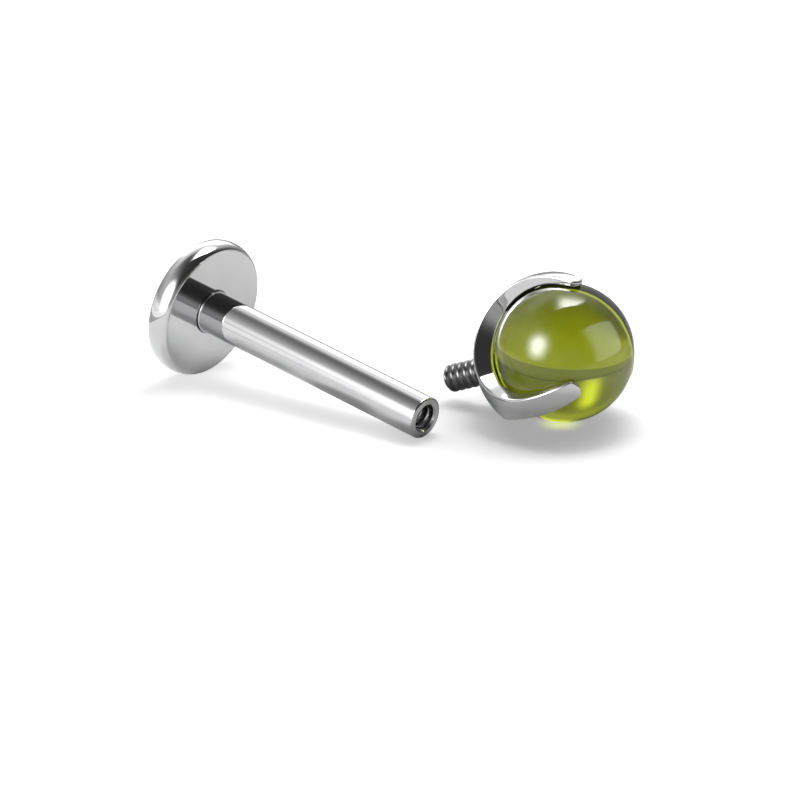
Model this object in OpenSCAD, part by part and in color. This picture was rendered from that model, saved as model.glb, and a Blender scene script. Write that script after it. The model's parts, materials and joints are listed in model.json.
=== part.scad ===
// Labret stud, taken apart: the back (disc and tapped post) lies on a surface, and the ball end that screws into
// it lies beside it. Millimetres, +Z up from the surface, the stud seen from its front (-Y).
// Each half is drawn along its own axis and then laid down.

/* [Back disc] */
// Diameter of the backing disc, over the bulge of its rim
disc_d = 4; // [3.5:0.1:5]
// Thickness of the disc
disc_t = 0.7; // [0.6:0.05:0.9]
// Radius of the roundings between the flat faces and the rim
disc_edge_r = 0.14; // [0.08:0.01:0.2]
// Radius of the rim's bulge, seen in section
disc_bulge_r = 0.6; // [0.5:0.05:0.8]

/* [Post] */
// Outer diameter of the post, 16 gauge
post_d = 1.2; // [1.2:0.1:1.6]
// Length of the post, from the disc's face to the free end
post_l = 8; // [6:0.5:12]
// Rounding of the outer edge at the free end
post_edge_r = 0.06; // [0.02:0.01:0.09]
// Diameter of the narrower foot that sits in the disc
foot_d = 0.84; // [0.7:0.02:0.88]
// How deep the foot sits in the disc
seat_depth = 0.4; // [0.2:0.05:0.45]
// How deep the shoulder above the foot sits in the disc's face
shoulder_in = 0.05; // [0.03:0.01:0.1]
// Diameter of the tapped hole at its thread crests
bore_d = 0.69; // [0.66:0.01:0.8]
// Depth of the tapped hole, without the drill point
bore_l = 3; // [2:0.25:5]
// Width of the countersink at the hole's mouth
mouth_w = 0.075; // [0.03:0.005:0.1]

/* [Ball] */
// Diameter of the glass ball
ball_d = 3.85; // [3.5:0.05:3.85]

/* [Claw] */
// Radius of the claw's outside, a sphere whose centre lies behind the ball's
claw_outer_r = 2.28; // [2.25:0.01:2.4]
// How far the outside's centre lies behind the ball's centre
claw_outer_back = 0.29; // [0.25:0.01:0.4]
// Radius of the claw's inside
claw_inner_r = 2; // [2:0.01:2.04]
// How far the inside's centre lies behind the ball's centre
claw_inner_back = 0.1; // [0:0.01:0.1]
// Angle from a prong's middle to its side, seen along the claw's axis
prong_half = 8.7; // [6:0.1:12]
// How far behind the ball's centre the straight prongs turn into the round bottoms of the gaps
gap_back = 0.45; // [0.3:0.05:0.7]
// Angle between the claw's axis and the middle of the arc that ends a prong
tip_angle = 68; // [64:1:75]
// Half-angle of the cone that rounds a prong's end
tip_cone = 10; // [9.5:0.5:12]

/* [Threaded pin] */
// Diameter over the thread's crests
pin_d = 0.79; // [0.7:0.01:0.9]
// Diameter at the thread's roots
pin_root_d = 0.66; // [0.5:0.01:0.66]
// Distance between two crests
pitch = 0.22; // [0.18:0.01:0.22]
// Number of crests between the tip and the plain collar at the claw
crests = 5; // [3:1:5]
// Length of the pin behind the claw
pin_l = 1.3; // [1.3:0.05:2]
// Length of the chamfer at the tip
pin_chamfer = 0.1; // [0.05:0.01:0.15]
// Diameter of the pin's plain foot
pin_foot_d = 0.46; // [0.4:0.02:0.48]
// How far the foot sits in the claw
pin_seat = 0.3; // [0.2:0.05:0.3]
// How far the collar sits in a flat seat cut into the claw's back
pin_flat = 0.05; // [0.04:0.005:0.08]

/* [How the halves lie] */
// Place of the centre of the disc's face, to the right
disc_x = -4.99; // [-6:0.01:-4]
// Place of the centre of the disc's face, to the back
disc_y = 2.04; // [1:0.01:3]
// Turn of the post from the X axis towards the front
post_turn = 40.8; // [0:0.1:90]
// Place of the ball's centre, to the right
ball_x = 4.8; // [4:0.01:6]
// Place of the ball's centre, to the back
ball_y = -1.78; // [-3:0.01:0]
// Turn of the claw's axis from the X axis towards the front
ball_turn = 29.4; // [0:0.1:60]
// Tilt of the claw's axis above the surface
ball_tilt = 21.2; // [15:0.1:25]
// Turn of the three prongs about the claw's axis
prong_roll = 54.9; // [50:0.1:60]

/* [Hidden] */
$fn = 96;
// Gap left around a seated piece
gap = 0.02;

disc_r = disc_d / 2;
post_r = post_d / 2;
foot_r = foot_d / 2;
bore_r = bore_d / 2;
ball_r = ball_d / 2;
pin_r = pin_d / 2;
root_r = pin_root_d / 2;
pin_foot_r = pin_foot_d / 2;

// The claw's back pole, the pin's tip, its collar's end and its foot's end lie this far behind the ball's centre
claw_back = claw_outer_r + claw_outer_back;
pin_reach = claw_back + pin_l;
pin_shoulder = claw_back - pin_flat;
pin_back = claw_back - pin_seat;

// In the rim's section the bulge's circle touches both edge circles from outside
bulge_x = disc_r - disc_bulge_r;
edge_y = disc_t / 2 - disc_edge_r;
edge_x = bulge_x + sqrt(pow(disc_bulge_r - disc_edge_r, 2) - edge_y * edge_y);
// Half the height over which the bulge shows between the edge circles
bulge_half = disc_bulge_r * edge_y / (disc_bulge_r - disc_edge_r);

// The back lies on the disc's bulge and on the rounded edge of the post's free end, which gives its tilt:
// lean_p * cos(tilt) - lean_q * sin(tilt) + lean_c = 0
lean_p = bulge_x - post_r + post_edge_r;
lean_q = post_l - post_edge_r + disc_t / 2;
lean_c = disc_bulge_r - post_edge_r;
post_tilt = atan(lean_p / lean_q) + asin(lean_c / norm([lean_p, lean_q]));
face_z = bulge_x * cos(post_tilt) + disc_bulge_r - disc_t / 2 * sin(post_tilt);

// Half the angle of a gap between two prongs
gap_half = 60 - prong_half;

// Where a ray from the gap's apex meets the claw's outside: the claw's outer edge around a gap's round bottom.
// mid is the gap's middle, around the axis, and s runs from one side of the gap to the other.
function edge_way(mid, s) =
    [cos(gap_half) * cos(mid) - sin(gap_half) * cos(s) * sin(mid),
     cos(gap_half) * sin(mid) + sin(gap_half) * cos(s) * cos(mid),
     -sin(gap_half) * sin(s)];
function reach(way, rise) = -rise * way[2] + sqrt(pow(rise * way[2], 2) - rise * rise + pow(claw_outer_r, 2));
function edge_point(mid, s) =
    let (way = edge_way(mid, s)) [0, 0, -gap_back] + reach(way, claw_outer_back - gap_back) * way;
// How far a point of the claw lies under the ball's centre once the ball end is laid down
function drop(p) =
    cos(ball_tilt) * (p[0] * cos(prong_roll) - p[1] * sin(prong_roll)) - sin(ball_tilt) * p[2];
// The ball end lies on the lowest point of its claw, or on the ball
claw_drop = max([for (mid = [60:120:300]) for (s = [0:2:180]) drop(edge_point(mid, s))]);
ball_z = max(ball_r, claw_drop);

// Lays a piece drawn along +Z from the disc's face onto the surface
module lay_back() {
    translate([disc_x, disc_y, face_z]) rotate([0, 90 + post_tilt, -post_turn]) children();
}

// Lays a piece drawn around the ball's centre, with +Z towards the front of the ball, onto the surface
module lay_ball_end() {
    translate([ball_x, ball_y, ball_z]) rotate([0, 90 - ball_tilt, -ball_turn]) rotate([0, 0, prong_roll])
        children();
}

// Half-section of the disc: radius to the right, its face at y = 0, its back below
module disc_section() {
    translate([0, -disc_t]) square([edge_x, disc_t]);
    translate([0, -disc_t + disc_edge_r]) square([edge_x + disc_edge_r / 2, disc_t - 2 * disc_edge_r]);
    for (y = [-disc_edge_r, disc_edge_r - disc_t]) translate([edge_x, y]) circle(disc_edge_r);
    intersection() {
        translate([bulge_x, -disc_t / 2]) circle(disc_bulge_r);
        translate([bulge_x, -disc_t / 2 - bulge_half]) square([disc_bulge_r, 2 * bulge_half]);
    }
}

// Round backing disc with a blind seat for the post: a hole for its foot and a shallow recess for its shoulder
module back_disc() color("silver") lay_back() difference() {
    rotate_extrude() disc_section();
    translate([0, 0, -seat_depth - gap]) cylinder(h = disc_t, r = foot_r + gap);
    translate([0, 0, -shoulder_in - gap]) cylinder(h = disc_t, r = post_r + gap);
}

// Half-section of the post's outside, with the rounded edge at its free end and the foot below
module post_section() {
    translate([0, -seat_depth]) square([foot_r, seat_depth + 1]);
    translate([0, -shoulder_in]) square([post_r, shoulder_in + post_l - post_edge_r]);
    translate([0, -shoulder_in]) square([post_r - post_edge_r, shoulder_in + post_l]);
    translate([post_r - post_edge_r, post_l - post_edge_r]) circle(post_edge_r);
}

// Straight post with a tapped hole, its drill point and the countersink at its mouth
module post() color("gainsboro") lay_back() difference() {
    rotate_extrude() post_section();
    translate([0, 0, post_l - bore_l]) cylinder(h = bore_l + 1, r = bore_r);
    translate([0, 0, post_l - bore_l - bore_r * tan(31)]) cylinder(h = bore_r * tan(31), r1 = 0, r2 = bore_r);
    translate([0, 0, post_l - mouth_w]) cylinder(h = 2 * mouth_w, r1 = bore_r, r2 = bore_r + 2 * mouth_w);
}

// One gap between two prongs: straight sides towards the front, a round bottom towards the pin
module prong_gap() {
    length = 4;
    width = length * tan(gap_half);
    translate([0, 0, -gap_back]) {
        linear_extrude(height = length) polygon([[0, 0], [length, -width], [length, width]]);
        intersection() {
            rotate([0, 90, 0]) cylinder(h = length, r1 = 0, r2 = width);
            translate([0, -width, -2 * width]) cube([length, 2 * width, 2 * width]);
        }
    }
}

// What is cut away past the rounded end of the prong that points along X
module prong_end() {
    length = 4;
    rotate([0, tip_angle - 90, 0]) difference() {
        translate([0, -1, 0]) cube([3, 2, 3]);
        rotate([0, 90, 0]) cylinder(h = length, r1 = 0, r2 = length * tan(tip_cone));
    }
}

// Cup with three curved prongs, thick at the cup and thin at the tips
module claw_setting() color("lightsteelblue") lay_ball_end() difference() {
    translate([0, 0, -claw_outer_back]) sphere(r = claw_outer_r);
    translate([0, 0, -claw_inner_back]) sphere(r = claw_inner_r);
    for (turn = [0:120:240]) rotate([0, 0, turn]) {
        rotate([0, 0, 60]) prong_gap();
        prong_end();
    }
    translate([0, 0, -pin_reach]) cylinder(h = pin_reach - pin_back + gap, r = pin_foot_r + gap);
    translate([0, 0, -pin_reach]) cylinder(h = pin_reach - pin_shoulder + gap, r = pin_r + gap);
}

// The first crest stands this far from the tip
first_crest = 0.09;
crest_half = 0.16 * pitch;

// Half-section of the pin from the tip up: flat-topped crests with sharp roots between them, the collar, the foot
module thread_section() {
    polygon(concat(
        [[0, 0], [root_r, 0]],
        [for (i = [0:crests])
            let (y = first_crest + i * pitch)
            for (p = [[root_r, -pitch / 2], [pin_r, -crest_half], [pin_r, crest_half]])
                if (y + p[1] > 0 && (i < crests || p[1] < 0)) [p[0], y + p[1]]],
        [[pin_r, pin_reach - pin_shoulder], [pin_foot_r, pin_reach - pin_shoulder],
         [pin_foot_r, pin_reach - pin_back], [0, pin_reach - pin_back]]
    ));
}

// Short screw with a chamfered tip, a plain collar at the claw and a foot
module threaded_pin() color("dimgray") lay_ball_end() translate([0, 0, -pin_reach]) intersection() {
    rotate_extrude() thread_section();
    union() {
        cylinder(h = pin_chamfer, r1 = pin_r - pin_chamfer, r2 = pin_r);
        translate([0, 0, pin_chamfer]) cylinder(h = pin_reach, r = pin_r + 1);
    }
}

// Clear glass ball
module stone_ball() color([0.55, 0.62, 0.05]) lay_ball_end() sphere(r = ball_r);

back_disc();
post();
claw_setting();
threaded_pin();
stone_ball();
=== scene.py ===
"""The looks of a labret stud, shown taken apart.

The back, a round disc with a tapped post, lies on a pale table. The ball end that screws into it lies
beside it: a short threaded pin, a claw with three prongs, and a clear olive glass ball. Every piece is
modelled in millimetres along its own axis and then laid in its place.
"""

import json
import logging
import math
from collections.abc import Callable, Iterator, Mapping, Sequence
from contextlib import contextmanager
from dataclasses import dataclass, field
from enum import Enum
from functools import cache
from itertools import pairwise

import bpy
from bpy.types import Collection, Material, Node, NodeSocket, NodeTree, Object
from mathutils import Matrix, Vector


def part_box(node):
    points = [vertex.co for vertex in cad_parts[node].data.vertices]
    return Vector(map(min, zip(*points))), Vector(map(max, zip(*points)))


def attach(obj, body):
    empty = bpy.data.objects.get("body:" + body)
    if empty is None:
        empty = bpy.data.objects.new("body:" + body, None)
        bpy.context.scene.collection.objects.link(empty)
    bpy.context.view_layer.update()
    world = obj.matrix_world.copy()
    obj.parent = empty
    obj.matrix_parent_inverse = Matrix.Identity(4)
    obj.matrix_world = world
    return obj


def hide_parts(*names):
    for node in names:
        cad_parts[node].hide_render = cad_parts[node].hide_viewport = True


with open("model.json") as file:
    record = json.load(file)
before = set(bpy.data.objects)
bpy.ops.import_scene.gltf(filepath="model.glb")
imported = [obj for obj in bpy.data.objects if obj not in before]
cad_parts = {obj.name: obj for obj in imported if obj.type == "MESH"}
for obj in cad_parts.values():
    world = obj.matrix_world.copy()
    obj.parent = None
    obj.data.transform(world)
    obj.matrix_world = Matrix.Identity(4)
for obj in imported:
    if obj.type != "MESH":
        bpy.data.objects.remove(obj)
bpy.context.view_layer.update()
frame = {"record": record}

log = logging.getLogger("labret_stud")

MM = 0.001
MERGE_DISTANCE = 1e-4
TURN_STEPS = 192
TOOL_STEPS = 96
SMOOTH_ANGLE = math.radians(30)
BODY = "root"
# Power that an area light needs for each square metre to shine with a strength of 1
AREA_LIGHT_FACTOR = math.pi
UP = Vector((0, 0, 1))

Pair = tuple[float, float]
Place = tuple[float, float, float]
Colour = tuple[float, float, float, float]
Value = NodeSocket | float
Inputs = dict[str | int, object]
Sockets = Mapping[str, NodeSocket]
Offset = tuple[NodeSocket, NodeSocket]


def select_only(part: Object) -> None:
    """Make one object the only one that is selected, and the active one.

    Args:
        part: The object.
    """
    bpy.ops.object.select_all(action="DESELECT")
    part.select_set(True)
    bpy.context.view_layer.objects.active = part


@contextmanager
def editing(part: Object) -> Iterator[None]:
    """Open an object in edit mode with all of its mesh selected, and close it again afterwards.

    Args:
        part: The object.
    """
    select_only(part)
    bpy.ops.object.mode_set(mode="EDIT")
    bpy.ops.mesh.select_mode(type="VERT")
    bpy.ops.mesh.select_all(action="SELECT")
    yield
    bpy.ops.object.mode_set(mode="OBJECT")


def name_new(name: str) -> Object:
    """Name the object that an operator has just added.

    Args:
        name: Its name.

    Returns:
        The object.
    """
    part = bpy.context.object
    part.name = name
    part.data.name = name
    return part


def weld(part: Object) -> None:
    """Merge doubled points and turn every face outwards.

    Args:
        part: The object.
    """
    with editing(part):
        bpy.ops.mesh.remove_doubles(threshold=MERGE_DISTANCE)
        bpy.ops.mesh.normals_make_consistent(inside=False)


def delete_faces(part: Object, test: Callable[[Vector], bool]) -> None:
    """Delete the faces whose middle passes a test.

    Args:
        part: The object.
        test: Takes a face's middle and says whether the face goes.
    """
    with editing(part):
        bpy.ops.mesh.select_mode(type="FACE")
        bpy.ops.mesh.select_all(action="DESELECT")
    for polygon in part.data.polygons:
        polygon.select = test(polygon.center)
    bpy.ops.object.mode_set(mode="EDIT")
    bpy.ops.mesh.delete(type="FACE")
    bpy.ops.object.mode_set(mode="OBJECT")


def apply_modifier(part: Object, kind: str, **settings: object) -> None:
    """Add a modifier, set it and apply it.

    Args:
        part: The object.
        kind: The modifier's type.
        settings: The modifier's properties and their values.
    """
    select_only(part)
    modifier = part.modifiers.new(kind.title(), kind)
    for key, value in settings.items():
        setattr(modifier, key, value)
    bpy.ops.object.modifier_apply(modifier=modifier.name)


def cut(part: Object, tool: Object, operation: str = "DIFFERENCE") -> None:
    """Cut or join an object with a second one, which is used up."""
    apply_modifier(part, "BOOLEAN", object=tool, operation=operation, solver="EXACT")
    bpy.data.objects.remove(tool)


def arc(centre: Pair, radius: float, start: float, end: float, steps: int) -> list[Pair]:
    """Points along a round stretch of a section.

    Args:
        centre: The arc's centre.
        radius: Its radius.
        start: The angle of its first point, in degrees.
        end: The angle of its last point, in degrees.
        steps: How many chords it has.

    Returns:
        The points, from start to end.
    """
    angles = [math.radians(start + (end - start) * step / steps) for step in range(steps + 1)]
    return [(centre[0] + radius * math.cos(turn), centre[1] + radius * math.sin(turn)) for turn in angles]


def way(turn: float, rise: float) -> Vector:
    """Direction with a turn about the Z axis from +X, and a rise above level, both in radians."""
    level = math.cos(rise)
    return Vector((level * math.cos(turn), level * math.sin(turn), math.sin(rise)))


def draw_section(name: str, points: Sequence[Pair]) -> Object:
    """Draw a half section in the XZ plane, point by point.

    A plane is merged to one point, which is moved to the section's start and extruded along it.

    Args:
        name: The piece's name.
        points: Radius and height of each point.

    Returns:
        The section's object, a chain of edges.
    """
    bpy.ops.mesh.primitive_plane_add(size=1, location=(0, 0, 0))
    part = name_new(name)
    with editing(part):
        bpy.ops.mesh.merge(type="CENTER")
        bpy.ops.transform.translate(value=(points[0][0], 0, points[0][1]))
        for (radius, height), (next_radius, next_height) in pairwise(points):
            step = (next_radius - radius, 0, next_height - height)
            bpy.ops.mesh.extrude_vertices_move(TRANSFORM_OT_translate={"value": step})
    return part


def turn_section(name: str, points: Sequence[Pair], steps: int = TURN_STEPS) -> Object:
    """Spin a half section about the Z axis, as on a lathe.

    Args:
        name: The piece's name.
        points: Radius and height of each point; the section's ends lie on the axis.
        steps: How many sides the turned piece has.

    Returns:
        The closed turned piece.
    """
    part = draw_section(name, points)
    with editing(part):
        bpy.ops.mesh.spin(steps=steps, angle=math.tau, use_auto_merge=True, center=(0, 0, 0), axis=UP)
    weld(part)
    return part


def even_shading(part: Object) -> None:
    """Smooth a piece between its hard edges, and let its large faces set the shading.

    Args:
        part: The piece.
    """
    select_only(part)
    bpy.ops.object.shade_smooth_by_angle(angle=SMOOTH_ANGLE)
    apply_modifier(part, "WEIGHTED_NORMAL", keep_sharp=True, weight=100)


def mount(name: str) -> tuple[Vector, Vector]:
    """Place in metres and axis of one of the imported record's mounts."""
    found = next(item for item in frame["record"]["mounts"] if item["name"] == name)
    return Vector(found["pos_m"]), Vector(found["axis"]).normalized()


@dataclass(frozen=True)
class Lie:
    """How one half of the stud lies: its axis in the shared frame.

    Attributes:
        origin: The point on the axis that its pieces are modelled from, in metres.
        direction: Where the pieces' own +Z points.
        roll: Turn of the pieces about their axis, in radians.
    """

    origin: Vector
    direction: Vector
    roll: float = 0.0

    def matrix(self) -> Matrix:
        """Work out the step from a piece's own millimetres to the shared frame.

        Returns:
            The matrix.
        """
        matrix = Matrix.Translation(self.origin)
        turn = math.atan2(self.direction.y, self.direction.x)
        lean = math.acos(self.direction.z)
        for angle, axis in ((turn, "Z"), (lean, "Y"), (self.roll, "Z")):
            matrix = matrix @ Matrix.Rotation(angle, 4, axis)
        return matrix @ Matrix.Scale(MM, 4)


class Nodes:
    """A node tree, with short ways to add nodes and join them."""

    def __init__(self, tree: NodeTree) -> None:
        """Keep the tree to work on."""
        self.tree = tree

    def feed(self, node: Node, inputs: Inputs) -> None:
        """Set a node's inputs.

        Args:
            node: The node.
            inputs: A value for each input, or the socket that feeds it, by the input's name or number.
        """
        for key, value in inputs.items():
            if isinstance(value, NodeSocket):
                self.tree.links.new(value, node.inputs[key])
            else:
                node.inputs[key].default_value = value

    def add(self, kind: str, inputs: Inputs | None = None, **settings: object) -> Node:
        """Add a node.

        Args:
            kind: The node's type.
            inputs: What its inputs get.
            settings: The node's properties and their values.

        Returns:
            The new node.
        """
        node = self.tree.nodes.new(kind)
        for key, value in settings.items():
            setattr(node, key, value)
        self.feed(node, inputs or {})
        return node

    def math(self, operation: str, *values: Value) -> NodeSocket:
        """Output of a Math node that works on some numbers."""
        return self.add("ShaderNodeMath", dict(enumerate(values)), operation=operation).outputs[0]

    def vector_math(self, operation: str, *values: object) -> Sockets:
        """Outputs of a Vector Math node that works on some vectors: Vector and Value."""
        return self.add("ShaderNodeVectorMath", dict(enumerate(values)), operation=operation).outputs

    def from_axis(self, place: NodeSocket) -> NodeSocket:
        """Distance of a place from the Z axis."""
        flat = self.vector_math("MULTIPLY", place, (1, 1, 0))["Vector"]
        return self.vector_math("LENGTH", flat)["Value"]

    def parts(self, place: NodeSocket) -> Sockets:
        """The X, Y and Z of a place."""
        return self.add("ShaderNodeSeparateXYZ", {0: place}).outputs

    def noise(self, place: NodeSocket, scale: Value, detail: float, roughness: float = 0.5) -> NodeSocket:
        """Height of a soft noise at a place."""
        inputs = {"Vector": place, "Scale": scale, "Detail": detail, "Roughness": roughness}
        return self.add("ShaderNodeTexNoise", inputs).outputs[0]

    def mix(self, factor: NodeSocket, first: object, second: object) -> NodeSocket:
        """The first colour where the factor is 0, the second where it is 1."""
        inputs = {"Factor": factor, 6: first, 7: second}
        return self.add("ShaderNodeMix", inputs, data_type="RGBA").outputs[2]

    def remap(
        self, value: NodeSocket, source: Pair, target: tuple[Value, Value], kind: str = "SMOOTHSTEP"
    ) -> NodeSocket:
        """Add a Map Range node.

        Args:
            value: The number to remap.
            source: The range that is read.
            target: The range that is given out.
            kind: How it goes from one end to the other.

        Returns:
            Its output.
        """
        ends = dict(zip(("From Min", "From Max", "To Min", "To Max"), (*source, *target)))
        return self.add("ShaderNodeMapRange", {"Value": value, **ends}, interpolation_type=kind).outputs[0]


def new_group(name: str, size: str, outputs: Sequence[str]) -> tuple[Nodes, Sockets, Node]:
    """Start a shader node group that draws marks at a place in the piece's own millimetres.

    Args:
        name: The group's name.
        size: The name of the input that says how fine the marks are.
        outputs: The names of its outputs, which are numbers.

    Returns:
        The tree to work on, what the group is given, and the node that takes its results.
    """
    nodes = Nodes(bpy.data.node_groups.new(name, "ShaderNodeTree"))
    new_socket = nodes.tree.interface.new_socket
    new_socket("Place", in_out="INPUT", socket_type="NodeSocketVector")
    new_socket(size, in_out="INPUT", socket_type="NodeSocketFloat")
    for label in outputs:
        new_socket(label, in_out="OUTPUT", socket_type="NodeSocketFloat")
    return nodes, nodes.add("NodeGroupInput").outputs, nodes.add("NodeGroupOutput")


@cache
def turned_lines_group() -> NodeTree:
    """Build the group that draws the fine lines which turning and polishing leave around an axis.

    Returns:
        The group, which gives the lines' height and a mask.
    """
    detail, roughness, mask_range = 2.0, 0.6, (0.45, 0.7)
    nodes, given, results = new_group("Turned lines", "Lines per mm", ("Height", "Mask"))
    parts = nodes.parts(given["Place"])
    density = given["Lines per mm"]
    unrolled = {
        "X": nodes.math("MULTIPLY", nodes.from_axis(given["Place"]), density),
        "Y": nodes.math("MULTIPLY", parts["Z"], density),
        "Z": nodes.math("SINE", nodes.math("ARCTAN2", parts["Y"], parts["X"])),
    }
    lines = nodes.noise(nodes.add("ShaderNodeCombineXYZ", unrolled).outputs[0], 1.0, detail, roughness)
    nodes.feed(results, {"Height": lines, "Mask": nodes.remap(lines, mask_range, (0, 1))})
    return nodes.tree


@cache
def handling_group() -> NodeTree:
    """Build the group that draws what handling leaves on a polished piece: soft haze and a few hairlines.

    Returns:
        The group, which gives the haze and the hairlines, from 0 to 1.
    """
    haze_detail, haze_roughness, haze_range = 3.0, 0.55, (0.35, 0.75)
    hairline_scale, hairline_detail, hairline_range = 1.4, 1.0, (0.66, 0.74)
    hairlines = ((0.5, (14, 0.7, 0.9)), (1.9, (0.8, 17, 0.6)))
    nodes, given, results = new_group("Handling marks", "Haze size", ("Haze", "Hairlines"))
    haze = nodes.noise(given["Place"], given["Haze size"], haze_detail, haze_roughness)
    lines: Value = 0.0
    for turn, stretch in hairlines:
        inputs = {"Vector": given["Place"], "Rotation": (turn, turn / 2, turn), "Scale": stretch}
        mapped = nodes.add("ShaderNodeMapping", inputs).outputs[0]
        streak = nodes.noise(mapped, hairline_scale, hairline_detail)
        lines = nodes.math("MAXIMUM", lines, nodes.remap(streak, hairline_range, (0, 1)))
    nodes.feed(results, {"Haze": nodes.remap(haze, haze_range, (0, 1)), "Hairlines": lines})
    return nodes.tree


class Surface(Nodes):
    """The node tree of a new material, with its Principled node and the place in the piece's own mm."""

    def __init__(self, name: str, lie: Lie) -> None:
        """Start the material.

        Args:
            name: Its name.
            lie: Where the piece lies; the material's patterns are centred on the piece's own axis.
        """
        self.material = bpy.data.materials.new(name)
        self.material.use_nodes = True
        super().__init__(self.material.node_tree)
        self.principled = self.tree.nodes["Principled BSDF"]
        matrix = lie.matrix()
        inputs = {
            "Vector": self.add("ShaderNodeTexCoord").outputs["Object"],
            "Location": matrix.translation,
            "Rotation": matrix.to_euler(),
            "Scale": (MM, MM, MM),
        }
        self.place = self.add("ShaderNodeMapping", inputs, vector_type="TEXTURE").outputs[0]

    def marks(self, group: NodeTree, inputs: Inputs) -> Sockets:
        """What a shared group gives at the surface's place."""
        return self.add("ShaderNodeGroup", {"Place": self.place, **inputs}, node_tree=group).outputs


@dataclass(frozen=True)
class Finish:
    """What every finish has in common.

    Attributes:
        name: The material's name.
    """

    name: str

    def looks(self, surface: Surface) -> Inputs:
        """Work out what the Principled node gets."""
        raise NotImplementedError

    def material(self, lie: Lie) -> Material:
        """Build the finish for a piece.

        Args:
            lie: Where the piece lies.

        Returns:
            The material.
        """
        surface = Surface(self.name, lie)
        surface.feed(surface.principled, self.looks(surface))
        return surface.material


@dataclass(frozen=True)
class LinedSteel(Finish):
    """Steel with fine lines around the piece's axis.

    Attributes:
        lines_per_mm: How fine the lines are.
        line_depth: Their depth, in metres.
    """

    lines_per_mm: float = 60.0
    line_depth: float = 4e-8

    def lines(self, surface: Surface) -> tuple[NodeSocket, NodeSocket]:
        """Draw the lines.

        Args:
            surface: The material's tree.

        Returns:
            A mask of the lines, and the surface's normal with them.
        """
        lines = surface.marks(turned_lines_group(), {"Lines per mm": self.lines_per_mm})
        relief = {"Height": lines["Height"], "Distance": self.line_depth, "Strength": 1.0}
        return lines["Mask"], surface.add("ShaderNodeBump", relief).outputs[0]


@dataclass(frozen=True)
class PolishedSteel(LinedSteel):
    """Mirror-polished surgical steel with the faint marks of turning and handling.

    Attributes:
        colour: The steel's colour where it is clean.
        haze_colour: Its colour under a trace of haze.
        roughness: Roughness where it is clean, and where it is hazy.
        haze_size: How fine the haze is.
    """

    colour: Colour = (0.62, 0.62, 0.625, 1)
    haze_colour: Colour = (0.59, 0.59, 0.6, 1)
    roughness: Pair = (0.02, 0.05)
    haze_size: float = 0.9

    def looks(self, surface: Surface) -> Inputs:
        """Work out what the Principled node gets.

        Args:
            surface: The material's tree.

        Returns:
            Its inputs.
        """
        marks = surface.marks(handling_group(), {"Haze size": self.haze_size})
        dullness = surface.math("MAXIMUM", marks["Haze"], marks["Hairlines"])
        return {
            "Metallic": 1.0,
            "Base Color": surface.mix(marks["Haze"], self.colour, self.haze_colour),
            "Roughness": surface.remap(dullness, (0, 1), self.roughness, "LINEAR"),
            "Normal": self.lines(surface)[1],
        }


@dataclass(frozen=True)
class HollowSteel(PolishedSteel):
    """Polished steel with painted shade inside a radius, where it is dark and dull.

    Attributes:
        inside: Radius that the painted shade ends at, and where the steel is fully polished, in mm.
        dark_colour: The colour of the painted shade on the inside.
        dark_roughness: The roughness of the inside.
    """

    inside: Pair = (0.0, 0.0)
    dark_colour: Colour = (0.03, 0.03, 0.03, 1)
    dark_roughness: float = 0.3

    def reach(self, surface: Surface) -> NodeSocket:
        """Work out a point's radius, in mm."""
        raise NotImplementedError

    def looks(self, surface: Surface) -> Inputs:
        """Work out what the Principled node gets.

        Args:
            surface: The material's tree.

        Returns:
            Its inputs.
        """
        polished = super().looks(surface)
        # Painted shade: within the radius the steel turns dark, dull and non-metallic
        outside = surface.remap(self.reach(surface), self.inside, (0, 1))
        gloss = (self.dark_roughness, polished["Roughness"])
        return {
            **polished,
            "Metallic": outside,
            "Base Color": surface.mix(outside, self.dark_colour, polished["Base Color"]),
            "Roughness": surface.remap(outside, (0, 1), gloss, "LINEAR"),
            "Specular IOR Level": 0.0,
        }


@dataclass(frozen=True)
class TappedSteel(HollowSteel):
    """Polished steel with painted shade in the hole along the Z axis, which is dark and dull there."""

    inside: Pair = (0.352, 0.362)

    def reach(self, surface: Surface) -> NodeSocket:
        """Distance from the axis, in mm."""
        return surface.from_axis(surface.place)


@dataclass(frozen=True)
class ShadedClawSteel(HollowSteel):
    """Steel for the claw, polished outside and in its cup, with painted shade on the rest of its inside,
    which is dark and dull there.

    Attributes:
        centre: Height of the inside's centre, in mm.
        back_way: The way to the gap at the back, whose cut faces get the painted shade too.
        back_gap: How far out that gap's painted shade begins and where it is complete, in mm.
        back_depth: How thick its painted shade is, in mm.
        cup: Heights that the cup's inside is polished below and has the painted shade above, in mm.
        cup_depth: How thick the polished inside is, in mm.
    """

    # Painted shade: within this distance of the centre the claw's inside is dark, dull and non-metallic
    inside: Pair = (1.99, 2.015)
    dark_colour: Colour = (0.025, 0.025, 0.025, 1)
    dark_roughness: float = 0.35
    centre: float = -0.03
    back_way: Place = (0.779, 0.253, -0.574)
    back_gap: Pair = (1.5, 1.75)
    back_depth: float = 0.26
    cup: Pair = (-1.5, -1.2)
    cup_depth: float = 0.3

    def reach(self, surface: Surface) -> NodeSocket:
        """Work out how far a point lies from the inside's centre.

        The distance counts as more in the cup, which is kept free of the painted shade, and as less around
        the gap at the back, where the painted shade reaches the cut faces.

        Args:
            surface: The material's tree.

        Returns:
            The distance, in mm.
        """
        far = surface.vector_math("DISTANCE", surface.place, (0, 0, self.centre))["Value"]
        back = surface.vector_math("DOT_PRODUCT", surface.place, self.back_way)["Value"]
        gap = surface.remap(back, self.back_gap, (0, 1))
        cup = surface.remap(surface.parts(surface.place)["Z"], self.cup, (self.cup_depth, 0))
        open_cup = surface.math("MULTIPLY", cup, surface.math("SUBTRACT", 1.0, gap))
        thick = surface.math("MULTIPLY_ADD", gap, -self.back_depth, open_cup)
        return surface.math("ADD", far, thick)


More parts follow.
